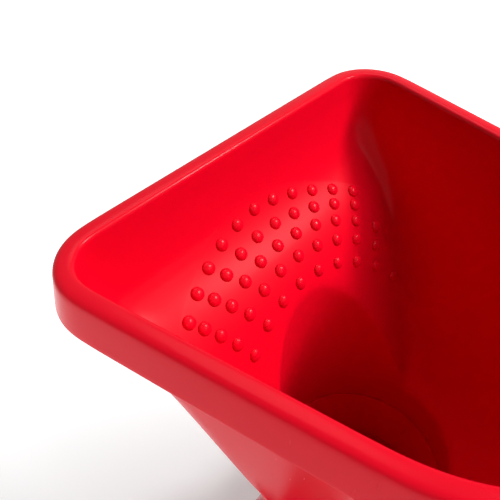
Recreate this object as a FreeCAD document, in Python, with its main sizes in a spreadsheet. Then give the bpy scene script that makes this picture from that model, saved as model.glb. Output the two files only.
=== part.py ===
import FreeCAD, Part
import Sketcher
import math
import os
import re

from FreeCAD import Placement, Rotation, Vector

# Hand-cranked food mill on a suction foot. The origin is the centre of the foot on the table, +Z is up,
# the barrel lies along Y with the crank at -Y, and the hopper's straight end looks towards -X.
# All lengths are in millimetres and all angles in degrees.

SIZES = {
    # Hopper
    "rim_height": 282.0,
    "end_half_width": 65.0,
    "side_taper": 10.8,
    "corner_radius": 14.9,
    "round_end_offset": 72.0,
    "lip_width": 4.7,
    "lip_thickness": 2.6,
    "skirt_height": 10.7,
    "skirt_flare": 1.9,
    "skirt_wall": 2.2,
    "hopper_wall": 2.8,
    "tray_depth": 96.0,
    "tray_draft": 8.0,
    "tray_corner": 8.0,
    "apron_inset": 10.4,
    "apron_drop": 22.6,
    "apron_top_slope": 18.0,
    "apron_foot_slope": 64.0,
    "apron_radius": 40.0,
    "bump_radius": 1.6,
    "bump_height": 0.95,
    "bump_inset": 10.4,
    "bump_row_gap": 4.57,
    "bump_arc_radius": 68.2,
    "bump_arc_growth": 1.41,
    "bump_step_angle": 6.35,
    "bump_rows": 5,
    "bump_row_count": 11,
    "cup_offset": 60.0,
    "cup_radius": 29.0,
    "cup_funnel_slope": 45.0,
    "neck_depth": 112.0,
    # Barrel, inlet tower and pedestal
    "axis_height": 130.0,
    "barrel_radius": 24.6,
    "barrel_wall": 3.2,
    "barrel_rear": 48.0,
    "barrel_front": 52.0,
    "rear_wall": 6.0,
    "rear_boss_radius": 13.0,
    "rear_boss_length": 10.0,
    "flange_radius": 30.0,
    "flange_length": 6.0,
    "collar_depth": 14.0,
    "collar_wall": 3.2,
    "neck_clearance": 0.3,
    "tower_root_radius": 26.0,
    "throat_radius": 21.0,
    "throat_drop": 22.0,
    "pedestal_radius": 30.0,
    "pedestal_waist": 20.0,
    "pedestal_flange": 5.0,
    "pedestal_bore": 14.0,
    # Drive
    "running_clearance": 0.05,
    "axial_gap": 0.3,
    "shaft_radius": 6.0,
    "shaft_square": 8.4,
    "square_clearance": 0.1,
    "bush_wall": 3.0,
    "bush_flange_radius": 12.0,
    "bush_flange": 2.0,
    "seal_radius": 11.0,
    "seal_width": 3.0,
    "washer_radius": 12.0,
    "washer_thickness": 1.5,
    "auger_core_radius": 9.0,
    "auger_tip_radius": 5.0,
    "auger_collar": 3.0,
    "auger_pitch": 32.0,
    "auger_socket": 20.0,
    "flight_thickness": 3.0,
    "flight_clearance": 0.8,
    "flight_root_radius": 4.0,
    "flight_steps": 16,
    # Strainer
    "screen_length": 98.0,
    "screen_mouth_radius": 24.2,
    "screen_tip_radius": 12.5,
    "screen_sheet": 0.8,
    "screen_flange": 1.2,
    "screen_flange_radius": 29.5,
    "screen_tip_length": 6.0,
    "ring_wall": 3.6,
    "ring_lip": 3.5,
    "ring_lip_clearance": 2.3,
    "ring_lug_angle": 24.0,
    "ring_lug_length": 2.4,
    "ring_notch_angle": 32.0,
    "ring_throw": 45.0,
    "ring_lug_count": 3,
    "spout_length": 24.0,
    "spout_wall": 2.2,
    # Chute
    "tongue_width": 16.0,
    "tongue_thickness": 5.0,
    "tongue_drop": 39.0,
    "tongue_start": 28.0,
    "tongue_end": 60.0,
    "tongue_web": 6.0,
    "tongue_web_length": 13.0,
    "socket_wall": 2.5,
    "socket_clearance": 0.3,
    "socket_length": 16.0,
    "trough_radius": 32.0,
    "trough_wall": 2.4,
    "trough_length": 92.0,
    "trough_axis_drop": 12.0,
    "trough_side_drop": 6.0,
    "trough_slope": 7.0,
    # Crank
    "crank_length": 95.0,
    "crank_gap": 1.0,
    "crank_hub_radius": 14.0,
    "crank_hub_length": 14.0,
    "crank_end_radius": 11.0,
    "crank_web": 8.0,
    "crank_web_hub": 22.0,
    "crank_web_end": 17.0,
    "crank_screw_radius": 2.4,
    "crank_screw_length": 12.0,
    "crank_screw_head": 6.5,
    "crank_screw_head_length": 3.5,
    "spindle_radius": 4.0,
    "spindle_head_radius": 6.5,
    "spindle_head": 2.0,
    "grip_length": 72.0,
    "grip_neck_radius": 9.0,
    "grip_neck_length": 9.0,
    "grip_belly_radius": 12.5,
    "grip_end_radius": 11.0,
    "grip_end_length": 6.0,
    "grip_face_radius": 9.9,
    "cap_radius": 6.5,
    "cap_face_radius": 4.5,
    "cap_length": 5.0,
    # Suction foot
    "pad_radius": 51.0,
    "pad_lip_width": 7.0,
    "pad_lip_height": 3.0,
    "pad_thickness": 6.0,
    "pad_hub_radius": 13.0,
    "pad_hub_height": 13.0,
    "stem_foot_radius": 8.0,
    "stem_foot": 2.0,
    "stem_neck_radius": 4.0,
    "stem_radius": 6.0,
    "stem_length": 42.0,
    "stem_lift": 3.5,
    "base_radius": 58.0,
    "base_rim_height": 8.0,
    "base_lift": 1.5,
    "base_shoulder_radius": 47.0,
    "base_shoulder_height": 34.0,
    "base_top_radius": 31.0,
    "base_height": 52.0,
    "base_wall": 3.0,
    "base_deck": 4.0,
    "base_round": 6.0,
    "guide_radius": 11.0,
    "guide_length": 12.0,
    "plate_radius": 46.0,
    "plate_height": 14.0,
    "plate_thickness": 3.0,
    "post_radius": 4.5,
    "post_circle": 37.0,
    "post_first_angle": 105.0,
    "post_step": 90.0,
    "post_count": 3,
    "lever_hub_radius": 14.0,
    "lever_reach": 80.0,
    "lever_width": 14.0,
    "lever_thickness": 6.0,
    "lever_height": 20.0,
    "lever_start": -30.0,
    "lever_throw": 90.0,
    "lever_slot_margin": 11.0,
    "lever_slot_clearance": 1.2,
    # Fasteners
    "screw_radius": 2.0,
    "screw_head_radius": 3.8,
    "screw_head": 2.4,
    "screw_length": 12.0,
    "flange_screw_length": 11.0,
    "flange_screw_circle": 23.0,
    "flange_screw_count": 3,
}

doc = FreeCAD.newDocument("food_mill")
dims = doc.addObject("Spreadsheet::Sheet", "dims")
for row, (alias, number) in enumerate(SIZES.items(), start=1):
    dims.set("A%d" % row, alias)
    dims.set("B%d" % row, str(number))
    dims.setAlias("B%d" % row, alias)
doc.recompute()

FULL_TURN = 360.0
RIGHT_ANGLE = 90.0
OVERCUT = 2.0
NEARNESS = 1e-6
nodes = {}


def bound(text):
    """The expression with each size's name pointing at its cell."""
    return re.sub(r"[a-z_]+", lambda word: ("dims." if word.group() in SIZES else "") + word.group(), text)


def bind(obj, **expressions):
    for name, text in expressions.items():
        obj.setExpression(name, bound(text))
    return obj


def put(obj, at=("0", "0", "0"), axis="Z", spin=None):
    """Place an object: its own Z along the named axis, or turned about Z by an expression."""
    turns = {"Z": Rotation(), "Y": Rotation(Vector(1, 0, 0), -RIGHT_ANGLE)}
    obj.Placement = Placement(Vector(), turns[axis])
    for letter, text in zip("xyz", at):
        obj.setExpression("Placement.Base." + letter, bound(text))
    if spin:
        obj.Placement = Placement(Vector(), Rotation(Vector(0, 0, 1), RIGHT_ANGLE))
        obj.setExpression("Placement.Rotation.Angle", bound(spin))
    return obj


def cylinder(radius, length, at=("0", "0", "0"), axis="Z", sector=None, spin=None):
    obj = bind(doc.addObject("Part::Cylinder", "cylinder"), Radius=radius, Height=length)
    if sector:
        bind(obj, Angle=sector)
    return put(obj, at, axis, spin)


def cone(foot_radius, top_radius, length, at):
    obj = bind(doc.addObject("Part::Cone", "cone"), Radius1=foot_radius, Radius2=top_radius, Height=length)
    return put(obj, at)


def box(width, depth, height, at):
    return put(bind(doc.addObject("Part::Box", "box"), Length=width, Width=depth, Height=height), at)


def fuse(*pieces):
    obj = doc.addObject("Part::MultiFuse", "fuse")
    obj.Shapes = list(pieces)
    return obj


def cut(base, *tools):
    obj = doc.addObject("Part::Cut", "cut")
    obj.Base = base
    obj.Tool = tools[0] if len(tools) == 1 else fuse(*tools)
    return obj


def turned(name, corners, at=("0", "0", "0"), axis="Z"):
    """A turned body: a closed profile of (radius, height) corners, all bound, revolved once round."""
    body = doc.addObject("PartDesign::Body", name)
    sketch = body.newObject("Sketcher::SketchObject", name + "_profile")
    plane = [feature for feature in body.Origin.OriginFeatures if feature.Role == "XZ_Plane"][0]
    sketch.AttachmentSupport = [(plane, "")]
    sketch.MapMode = "FlatFace"
    count = len(corners)
    steps = [2 * math.pi * step / count for step in range(count)]
    guesses = [Vector(2 + math.cos(step), math.sin(step), 0) for step in steps]
    for index in range(count):
        sketch.addGeometry(Part.LineSegment(guesses[index], guesses[(index + 1) % count]), False)
    for index in range(count):
        sketch.addConstraint(Sketcher.Constraint("Coincident", index, 2, (index + 1) % count, 1))
    for index, (radius, height) in enumerate(corners):
        if radius == "0":
            sketch.addConstraint(Sketcher.Constraint("PointOnObject", index, 1, -2))
        else:
            across = Sketcher.Constraint("DistanceX", -1, 1, index, 1, guesses[index].x)
            sketch.setExpression("Constraints[%d]" % sketch.addConstraint(across), bound(radius))
        along = Sketcher.Constraint("DistanceY", -1, 1, index, 1, guesses[index].y)
        sketch.setExpression("Constraints[%d]" % sketch.addConstraint(along), bound(height))
    revolution = body.newObject("PartDesign::Revolution", name + "_turning")
    revolution.Profile = sketch
    revolution.ReferenceAxis = (sketch, ["V_Axis"])
    revolution.Angle = FULL_TURN
    return put(body, at, axis)


def round_edges(body, radius, circles):
    """Fillet the body's edges that are circles of the given (radius, height), in its own frame."""
    doc.recompute()
    turning = body.Tip
    names = []
    for number, edge in enumerate(turning.Shape.Edges, start=1):
        for circle_radius, height in circles:
            if isinstance(edge.Curve, Part.Circle) and abs(edge.Curve.Radius - circle_radius) < NEARNESS:
                if abs(edge.Curve.Center.z - height) < NEARNESS:
                    names.append("Edge%d" % number)
    fillet = body.newObject("PartDesign::Fillet", body.Name + "_round")
    fillet.Base = (turning, names)
    fillet.setExpression("Radius", bound(radius))
    body.Tip = fillet
    return body


# Hopper: one thin moulding, coded because its outline, draft and apron blend in one set of lofted walls.

def rim_outline(grow, end, corner, height):
    """Plan outline: straight end, round corners, tapering sides and a round end tangent to them."""
    taper = math.radians(dims.side_taper)
    normal = Vector(math.sin(taper), math.cos(taper), 0)
    half_width = dims.end_half_width + grow / math.cos(taper)
    centre = Vector(end + corner, half_width - (end + corner) * math.tan(taper) - corner / math.cos(taper), 0)
    far_centre = Vector(dims.round_end_offset, 0, 0)
    far_radius = (half_width - far_centre.x * math.tan(taper)) * math.cos(taper)
    middle = (RIGHT_ANGLE + FULL_TURN / 8) - dims.side_taper / 2
    bisector = Vector(math.cos(math.radians(middle)), math.sin(math.radians(middle)), 0)
    points = [
        Vector(end, centre.y, 0),
        centre + bisector * corner,
        centre + normal * corner,
        far_centre + normal * far_radius,
        far_centre + Vector((1 + normal.x) / 2, normal.y / 2, 0).normalize() * far_radius,
        far_centre + Vector(far_radius, 0, 0),
    ]
    far_side = [Vector(point.x, point.y, height) for point in points]
    near_side = [Vector(point.x, -point.y, height) for point in points]
    edges = [
        Part.LineSegment(near_side[0], far_side[0]),
        Part.Arc(far_side[0], far_side[1], far_side[2]),
        Part.LineSegment(far_side[2], far_side[3]),
        Part.Arc(far_side[3], far_side[4], far_side[5]),
        Part.Arc(near_side[5], near_side[4], near_side[3]),
        Part.LineSegment(near_side[3], near_side[2]),
        Part.Arc(near_side[2], near_side[1], near_side[0]),
    ]
    return Part.Wire([edge.toShape() for edge in edges])


def walls(*outlines):
    return Part.makeLoft(list(outlines), True, True)


def tray(wall):
    """Tapering tray from above the rim down to its foot, grown by the wall."""
    slope = math.tan(math.radians(dims.tray_draft))
    rise = OVERCUT if wall == 0 else -dims.lip_thickness / 2
    top = wall - dims.lip_width + rise * slope
    foot = wall - dims.lip_width - dims.tray_depth * slope
    top_corner = dims.corner_radius - dims.lip_width + wall
    return walls(
        rim_outline(top, -top, top_corner, rise),
        rim_outline(foot, -foot, dims.tray_corner + wall, -dims.tray_depth),
    )


def above_apron(wall):
    """All that lies over the apron: a gentle start that rolls over into a steep straight foot."""
    start = math.radians(dims.apron_top_slope)
    foot = math.radians(dims.apron_foot_slope)
    radius = dims.apron_radius - wall
    centre = Vector(dims.apron_inset, 0, -dims.apron_drop)
    centre -= Vector(math.sin(start), 0, math.cos(start)) * dims.apron_radius

    def on_roll(angle):
        return centre + Vector(math.sin(angle), 0, math.cos(angle)) * radius

    reach = dims.neck_depth
    left = on_roll(start) + Vector(-math.cos(start), 0, math.sin(start)) * reach
    low = on_roll(foot) + Vector(math.cos(foot), 0, -math.sin(foot)) * reach
    right = low + Vector(dims.round_end_offset + dims.end_half_width, 0, 0)
    lid = left.z + OVERCUT
    edges = [
        Part.LineSegment(left, on_roll(start)),
        Part.Arc(on_roll(start), on_roll((start + foot) / 2), on_roll(foot)),
        Part.LineSegment(on_roll(foot), low),
        Part.LineSegment(low, right),
        Part.LineSegment(right, Vector(right.x, 0, lid)),
        Part.LineSegment(Vector(right.x, 0, lid), Vector(left.x, 0, lid)),
        Part.LineSegment(Vector(left.x, 0, lid), left),
    ]
    face = Part.Face(Part.Wire([edge.toShape() for edge in edges]))
    face.translate(Vector(0, -dims.end_half_width - OVERCUT, 0))
    return face.extrude(Vector(0, 2 * (dims.end_half_width + OVERCUT), 0))


def cup_funnel(wall):
    """Inverted cone that leads the tray's foot into the cup."""
    slope = math.tan(math.radians(dims.cup_funnel_slope))
    foot_radius = dims.cup_radius + wall
    height = dims.tray_depth + OVERCUT
    centre = Vector(dims.cup_offset, 0, -dims.tray_depth)
    return Part.makeCone(foot_radius, foot_radius + height / slope, height, centre)


def cup(wall, reach):
    top = dims.apron_drop
    centre = Vector(dims.cup_offset, 0, -dims.neck_depth - reach)
    return Part.makeCylinder(dims.cup_radius + wall, dims.neck_depth + reach - top, centre)


def hollow(wall, reach):
    basin = tray(wall).common(above_apron(wall)).common(cup_funnel(wall))
    return basin.fuse(cup(wall, reach)).removeSplitter()


def skirted(inset, top):
    """Flared block between the given height and the skirt's foot, drawn in by the inset."""
    foot = dims.skirt_flare - inset
    return walls(
        rim_outline(-inset, inset, dims.corner_radius - inset, top),
        rim_outline(foot, -foot, dims.corner_radius + foot, -dims.skirt_height),
    )


def apron_point(x):
    """Height of the apron at a place along X, and the way it faces there."""
    start = math.radians(dims.apron_top_slope)
    foot = math.radians(dims.apron_foot_slope)
    centre_x = dims.apron_inset - math.sin(start) * dims.apron_radius
    centre_z = -dims.apron_drop - math.cos(start) * dims.apron_radius
    slope = math.asin(min(1.0, max(-1.0, (x - centre_x) / dims.apron_radius)))
    slope = min(foot, max(start, slope))
    on_roll = centre_x + math.sin(slope) * dims.apron_radius
    height = centre_z + math.cos(slope) * dims.apron_radius - (x - on_roll) * math.tan(slope)
    return height, Vector(math.sin(slope), 0, math.cos(slope))


def bumps():
    """Rows of domes on the apron, every second row half a step aside, each sunk so that its cap stands out."""
    ball = (dims.bump_radius ** 2 + dims.bump_height ** 2) / (2 * dims.bump_height)
    domes = []
    for row in range(int(dims.bump_rows)):
        count = int(dims.bump_row_count) - row % 2
        arc = dims.bump_arc_radius + row * dims.bump_arc_growth
        for index in range(count):
            turn = math.radians((index - (count - 1) / 2) * dims.bump_step_angle)
            x = dims.bump_inset + row * dims.bump_row_gap + arc * (1 - math.cos(turn))
            height, facing = apron_point(x)
            seat = Vector(x, arc * math.sin(turn), height) + facing * (dims.bump_height - ball)
            domes.append(Part.makeSphere(ball, seat, facing, 0, RIGHT_ANGLE, FULL_TURN))
    return domes


def hopper_shape():
    """Lip and skirt, then the walled hollow below them, then the hollow itself taken out, then the bumps."""
    rim = skirted(0, 0).cut(skirted(dims.skirt_wall, -dims.lip_thickness))
    shell = rim.fuse(hollow(dims.hopper_wall, 0)).cut(hollow(0, OVERCUT)).removeSplitter()
    for dome in bumps():
        shell = shell.fuse(dome)
    return shell


nodes["hopper"] = doc.addObject("Part::Feature", "hopper")
nodes["hopper"].Shape = hopper_shape()
put(nodes["hopper"], ("-cup_offset", "0", "rim_height"))

# Body housing: barrel along Y, inlet tower with the collar that takes the hopper's neck, pedestal with a
# flange on the foot, and the tongue for the chute.

SEAT = "(rim_height - neck_depth)"
BARREL_OUTER = "(barrel_radius + barrel_wall)"
COLLAR_BORE = "(cup_radius + hopper_wall + neck_clearance)"
COLLAR_OUTER = "(cup_radius + hopper_wall + neck_clearance + collar_wall)"
BUSH_OUTER = "(shaft_radius + running_clearance + bush_wall)"
REAR_FACE = "(-barrel_rear)"
REAR_INSIDE = "(rear_wall - barrel_rear)"
BOSS_FACE = "(-barrel_rear - rear_boss_length)"
TONGUE_TOP = "(axis_height - tongue_drop)"

barrel = cylinder(BARREL_OUTER, "barrel_rear + barrel_front", ("0", REAR_FACE, "axis_height"), "Y")
rear_boss = cylinder(
    "rear_boss_radius", "rear_boss_length + rear_wall / 2", ("0", BOSS_FACE, "axis_height"), "Y",
)
front_flange = cylinder(
    "flange_radius", "flange_length", ("0", "barrel_front - flange_length", "axis_height"), "Y",
)
tower = cone("tower_root_radius", COLLAR_OUTER, SEAT + " - axis_height", ("0", "0", "axis_height"))
collar = cylinder(COLLAR_OUTER, "collar_depth", ("0", "0", SEAT))
pedestal = cone(
    "pedestal_radius", "pedestal_waist", "axis_height - base_height - pedestal_flange",
    ("0", "0", "base_height + pedestal_flange"),
)
foot_flange = cylinder("pedestal_radius", "pedestal_flange", ("0", "0", "base_height"))
tongue = box(
    "tongue_width", "tongue_end - tongue_start", "tongue_thickness",
    ("-tongue_width / 2", "tongue_start", TONGUE_TOP + " - tongue_thickness"),
)
tongue_web = box(
    "tongue_web", "tongue_web_length", "tongue_drop + tongue_thickness - barrel_radius - barrel_wall / 2",
    ("-tongue_web / 2", "tongue_start", TONGUE_TOP + " - tongue_thickness"),
)
barrel_bore = cylinder(
    "barrel_radius", "barrel_rear + barrel_front", ("0", REAR_INSIDE, "axis_height"), "Y",
)
bush_bore = cylinder(
    BUSH_OUTER, "rear_boss_length + barrel_rear", ("0", BOSS_FACE + " - rear_wall", "axis_height"), "Y",
)
collar_bore = cylinder(COLLAR_BORE, "2 * collar_depth", ("0", "0", SEAT))
throat_funnel = cone("throat_radius", "cup_radius", "throat_drop", ("0", "0", SEAT + " - throat_drop"))
throat = cylinder("throat_radius", SEAT + " - axis_height", ("0", "0", "axis_height"))
pedestal_bore = cylinder(
    "pedestal_bore", "axis_height - base_height - barrel_radius - 2 * barrel_wall", ("0", "0", "base_height"),
)
notches = []
lugs = []
for index in range(int(dims.ring_lug_count)):
    step = "%d * %g / ring_lug_count" % (index, FULL_TURN)
    notches.append(cylinder(
        "flange_radius + ring_wall", "2 * flange_length", sector="ring_notch_angle",
        spin=step + " + ring_throw - ring_notch_angle / 2",
    ))
    lugs.append(cylinder(
        "flange_radius + ring_wall / 2", "ring_lug_length", sector="ring_lug_angle",
        spin=step + " - ring_lug_angle / 2",
    ))
notch_ring = cut(fuse(*notches), cylinder(BARREL_OUTER, "3 * flange_length"))
notch_ring = put(notch_ring, ("0", "barrel_front - 3 * flange_length / 2", "axis_height"), "Y")
FASTENER_BORE = "screw_radius + running_clearance"


def on_circle(radius, turn):
    """Across and along places of a point on a circle about Z."""
    return "%s * cos(%s)" % (radius, turn), "%s * sin(%s)" % (radius, turn)


flange_screw_places = [
    on_circle("flange_screw_circle", "(%d + 1 / 2) * %g / flange_screw_count" % (index, FULL_TURN))
    for index in range(int(dims.flange_screw_count))
]
flange_bores = [
    cylinder(FASTENER_BORE, "screw_length", (across, along, "base_height - base_deck"))
    for across, along in flange_screw_places
]
nodes["body_housing"] = cut(
    fuse(barrel, rear_boss, front_flange, tower, collar, pedestal, foot_flange, tongue, tongue_web),
    barrel_bore, bush_bore, collar_bore, throat_funnel, throat, pedestal_bore, notch_ring, *flange_bores,
)

# Drive: bush and seal in the rear wall, steel shaft with square ends, thrust washer and auger.

AXIS = ("0", "0", "axis_height")
SEAL_FACE = "(rear_wall - barrel_rear + seal_width)"
WASHER_REAR = "(rear_wall - barrel_rear + seal_width + axial_gap)"
AUGER_REAR = "(rear_wall - barrel_rear + seal_width + axial_gap + washer_thickness)"
BUSH_FACE = "(-barrel_rear - rear_boss_length - bush_flange)"
HUB_FACE = "(-barrel_rear - rear_boss_length - bush_flange - crank_gap)"
HUB_REAR = "(-barrel_rear - rear_boss_length - bush_flange - crank_gap - crank_hub_length)"
SCREEN_END = "(barrel_front + screen_flange + screen_length)"

BUSH_BORE = "shaft_radius + running_clearance"
nodes["rear_bush"] = turned("rear_bush", [
    (BUSH_BORE, BUSH_FACE), ("bush_flange_radius", BUSH_FACE), ("bush_flange_radius", BOSS_FACE),
    ("shaft_radius + bush_wall", BOSS_FACE), ("shaft_radius + bush_wall", REAR_INSIDE),
    (BUSH_BORE, REAR_INSIDE),
], AXIS, "Y")
nodes["shaft_seal"] = turned("shaft_seal", [
    ("shaft_radius + running_clearance", REAR_INSIDE), ("seal_radius", REAR_INSIDE),
    ("seal_radius", SEAL_FACE), ("shaft_radius + running_clearance", SEAL_FACE),
], AXIS, "Y")
nodes["thrust_washer"] = turned("thrust_washer", [
    ("shaft_radius + running_clearance", WASHER_REAR), ("washer_radius", WASHER_REAR),
    ("washer_radius", AUGER_REAR), ("shaft_radius + running_clearance", AUGER_REAR),
], AXIS, "Y")
shaft_round = cylinder("shaft_radius", AUGER_REAR + " - " + HUB_FACE, ("0", HUB_FACE, "axis_height"), "Y")
shaft_flats = box(
    "shaft_square", AUGER_REAR + " - " + HUB_REAR + " + auger_socket - crank_gap", "shaft_square",
    ("-shaft_square / 2", HUB_REAR + " + crank_gap", "axis_height - shaft_square / 2"),
)
SCREW_BORE = "crank_screw_radius + running_clearance"
screw_bore = cylinder(SCREW_BORE, "crank_hub_length", ("0", HUB_REAR, "axis_height"), "Y")
nodes["drive_shaft"] = cut(fuse(shaft_round, shaft_flats), screw_bore)

auger_core = turned("auger_core", [
    ("0", AUGER_REAR), ("washer_radius", AUGER_REAR), ("washer_radius", AUGER_REAR + " + auger_collar"),
    ("auger_core_radius", AUGER_REAR + " + 2 * auger_collar"), ("auger_core_radius", "barrel_front"),
    ("auger_tip_radius", SCREEN_END), ("0", SCREEN_END),
], AXIS, "Y")


def flight_shape():
    """Helical blade from behind the collar to the end of the screen, as wide as what it turns in."""
    rear = dims.rear_wall - dims.barrel_rear + dims.seal_width + dims.axial_gap + dims.washer_thickness
    start = rear + dims.auger_collar + dims.flight_thickness
    mouth = dims.barrel_front
    end = mouth + dims.screen_flange + dims.screen_length
    half = Vector(0, 0, dims.flight_thickness / 2)
    length = end - start - dims.auger_collar
    steps = math.ceil(dims.flight_steps * length / dims.auger_pitch)
    sections = []
    for step in range(steps + 1):
        height = start + length * step / steps
        share = max(0, height - mouth) / (end - mouth)
        wide = dims.barrel_radius if height < mouth - dims.auger_pitch / 4 else dims.screen_mouth_radius
        reach = wide + share * (dims.screen_tip_radius - dims.screen_mouth_radius) - dims.flight_clearance
        turn = 2 * math.pi * (height - start) / dims.auger_pitch
        outwards = Vector(math.cos(turn), math.sin(turn), 0)
        inner = outwards * dims.flight_root_radius + Vector(0, 0, height)
        outer = outwards * reach + Vector(0, 0, height)
        corners = [inner - half, outer - half, outer + half, inner + half]
        sections.append(Part.makePolygon(corners + corners[:1]))
    return Part.makeLoft(sections, True, True)


flight = doc.addObject("Part::Feature", "flight")
flight.Shape = flight_shape()
put(flight, AXIS, "Y")
auger_socket = box(
    "shaft_square + 2 * square_clearance", "auger_socket + square_clearance",
    "shaft_square + 2 * square_clearance",
    ("-shaft_square / 2 - square_clearance", AUGER_REAR, "axis_height - shaft_square / 2 - square_clearance"),
)
nodes["auger"] = cut(fuse(auger_core, flight), auger_socket)

# Strainer: sheet-metal cone with a flange, the bayonet ring that clamps it and the waste spout on its tip.

SCREEN_REAR = "barrel_front"
SCREEN_FACE = "barrel_front + screen_flange"
TIP_START = "(barrel_front + screen_flange + screen_length)"
TIP_END = "(barrel_front + screen_flange + screen_length + screen_tip_length)"
TIP_OUTER = "screen_tip_radius + screen_sheet"
nodes["strainer_screen"] = turned("strainer_screen", [
    ("screen_mouth_radius", SCREEN_REAR), ("screen_flange_radius", SCREEN_REAR),
    ("screen_flange_radius", SCREEN_FACE), ("screen_mouth_radius + screen_sheet", SCREEN_FACE),
    (TIP_OUTER, TIP_START), (TIP_OUTER, TIP_END), ("screen_tip_radius", TIP_END),
    ("screen_tip_radius", TIP_START), ("screen_mouth_radius", SCREEN_FACE),
], AXIS, "Y")
LIP_REAR = "barrel_front + screen_flange + axial_gap"
LIP_FACE = "barrel_front + screen_flange + axial_gap + ring_lip"
LUG_FACE = "(barrel_front - flange_length - axial_gap)"
LUG_REAR = "(barrel_front - flange_length - axial_gap - ring_lug_length)"
RING_BORE = "flange_radius + running_clearance"
RING_OUTER = "flange_radius + running_clearance + ring_wall"
ring_lip_bore = "screen_mouth_radius + screen_sheet + ring_lip_clearance"
ring_body = turned("ring_body", [
    (RING_BORE, LUG_REAR), (RING_OUTER, LUG_REAR), (RING_OUTER, LIP_FACE), (ring_lip_bore, LIP_FACE),
    (ring_lip_bore, LIP_REAR), (RING_BORE, LIP_REAR),
])
lug_ring = cut(fuse(*lugs), cylinder(BARREL_OUTER + " + axial_gap", "barrel_front"))
lug_ring = put(lug_ring, ("0", "0", LUG_REAR))
nodes["screen_ring"] = put(fuse(ring_body, lug_ring), AXIS, "Y")
SPOUT_REAR = TIP_START + " + axial_gap"
SPOUT_FACE = TIP_START + " + spout_length"
SPOUT_BORE = "screen_tip_radius + screen_sheet + running_clearance"
SPOUT_OUTER = "screen_tip_radius + screen_sheet + running_clearance + spout_wall"
nodes["waste_spout"] = turned("waste_spout", [
    (SPOUT_BORE, SPOUT_REAR), (SPOUT_OUTER, SPOUT_REAR), (SPOUT_OUTER, TIP_END + " + spout_wall"),
    ("screen_tip_radius + spout_wall", SPOUT_FACE), ("screen_tip_radius", SPOUT_FACE),
    ("screen_tip_radius", TIP_END), (SPOUT_BORE, TIP_END),
], AXIS, "Y")

# Juice chute: half-round trough that slopes away under the cone, with a socket for the housing's tongue.

SOCKET_WIDTH = "tongue_width + 2 * socket_clearance"
SOCKET_REAR = "(tongue_end + socket_clearance - socket_length)"
SOCKET_FACE = "(tongue_end + socket_clearance + socket_wall)"
socket_block = box(
    SOCKET_WIDTH + " + 2 * socket_wall", "socket_length + socket_wall",
    "tongue_thickness + 2 * socket_clearance + 2 * socket_wall",
    ("-tongue_width / 2 - socket_clearance - socket_wall", SOCKET_REAR,
     TONGUE_TOP + " - tongue_thickness - socket_clearance - socket_wall"),
)
socket_slot = box(
    SOCKET_WIDTH, "2 * socket_length", "tongue_thickness + 2 * socket_clearance",
    ("-tongue_width / 2 - socket_clearance", SOCKET_REAR + " - socket_length",
     TONGUE_TOP + " - tongue_thickness - socket_clearance"),
)
trough_outer = cylinder("trough_radius + trough_wall", "trough_length")
trough_inner = cylinder("trough_radius", "trough_length", ("0", "0", "trough_wall"))
trough_lid = box(
    "4 * trough_radius", "4 * trough_radius", "2 * trough_length",
    ("-2 * trough_radius", "-4 * trough_radius + trough_side_drop", "-trough_length / 2"),
)
trough = cut(trough_outer, fuse(trough_inner, trough_lid))
TROUGH_REAR = SOCKET_FACE + " - socket_wall"
trough = put(trough, ("0", TROUGH_REAR, "axis_height - trough_axis_drop"), "Y")
trough.setExpression("Placement.Rotation.Angle", bound("-%g - trough_slope" % RIGHT_ANGLE))
CONE_ROOM = "screen_mouth_radius + screen_sheet + socket_wall"
cone_gap = cylinder(CONE_ROOM, "2 * socket_length", ("0", SOCKET_REAR, "axis_height"), "Y")
nodes["juice_chute"] = cut(fuse(trough, socket_block), socket_slot, cone_gap)

# Crank: tapering arm that hangs down, with its screw, and the handle that turns on its own spindle.

HANDLE_AXIS = ("0", "0", "axis_height - crank_length")
ARM_REAR = HUB_REAR + " + crank_hub_length / 2 - crank_web / 2"
hub = cylinder("crank_hub_radius", "crank_hub_length", ("0", HUB_REAR, "axis_height"), "Y")
end_boss = cylinder("crank_end_radius", "crank_hub_length", ("0", HUB_REAR, HANDLE_AXIS[2]), "Y")
web = bind(
    doc.addObject("Part::Wedge", "crank_web"), Xmin="-crank_web_hub / 2", Xmax="crank_web_hub / 2",
    X2min="-crank_web_end / 2", X2max="crank_web_end / 2", Ymin="0", Ymax="crank_length",
    Zmin="0", Z2min="0", Zmax="crank_web", Z2max="crank_web",
)
web = put(web, ("0", ARM_REAR, "axis_height"), "Y")
square_hole = box(
    "shaft_square + 2 * square_clearance", "3 * crank_hub_length", "shaft_square + 2 * square_clearance",
    ("-shaft_square / 2 - square_clearance", HUB_REAR + " + crank_gap",
     "axis_height - shaft_square / 2 - square_clearance"),
)
screw_hole = cylinder(SCREW_BORE, "crank_hub_length", ("0", HUB_REAR + " - crank_gap", "axis_height"), "Y")
SPINDLE_BORE = "spindle_radius + running_clearance"
spindle_hole = cylinder(
    SPINDLE_BORE, "3 * crank_hub_length", ("0", HUB_REAR + " - crank_hub_length", HANDLE_AXIS[2]), "Y",
)
nodes["crank_arm"] = cut(fuse(hub, end_boss, web), square_hole, screw_hole, spindle_hole)
nodes["crank_screw"] = turned("crank_screw", [
    ("0", HUB_REAR + " - crank_screw_head_length"),
    ("crank_screw_head", HUB_REAR + " - crank_screw_head_length"),
    ("crank_screw_head", HUB_REAR), ("crank_screw_radius", HUB_REAR),
    ("crank_screw_radius", HUB_REAR + " + crank_screw_length"), ("0", HUB_REAR + " + crank_screw_length"),
], AXIS, "Y")
GRIP_FACE = HUB_REAR + " - axial_gap"
GRIP_END = HUB_REAR + " - axial_gap - grip_length"
CAP_FACE = HUB_REAR + " - 2 * axial_gap - grip_length"
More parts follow.
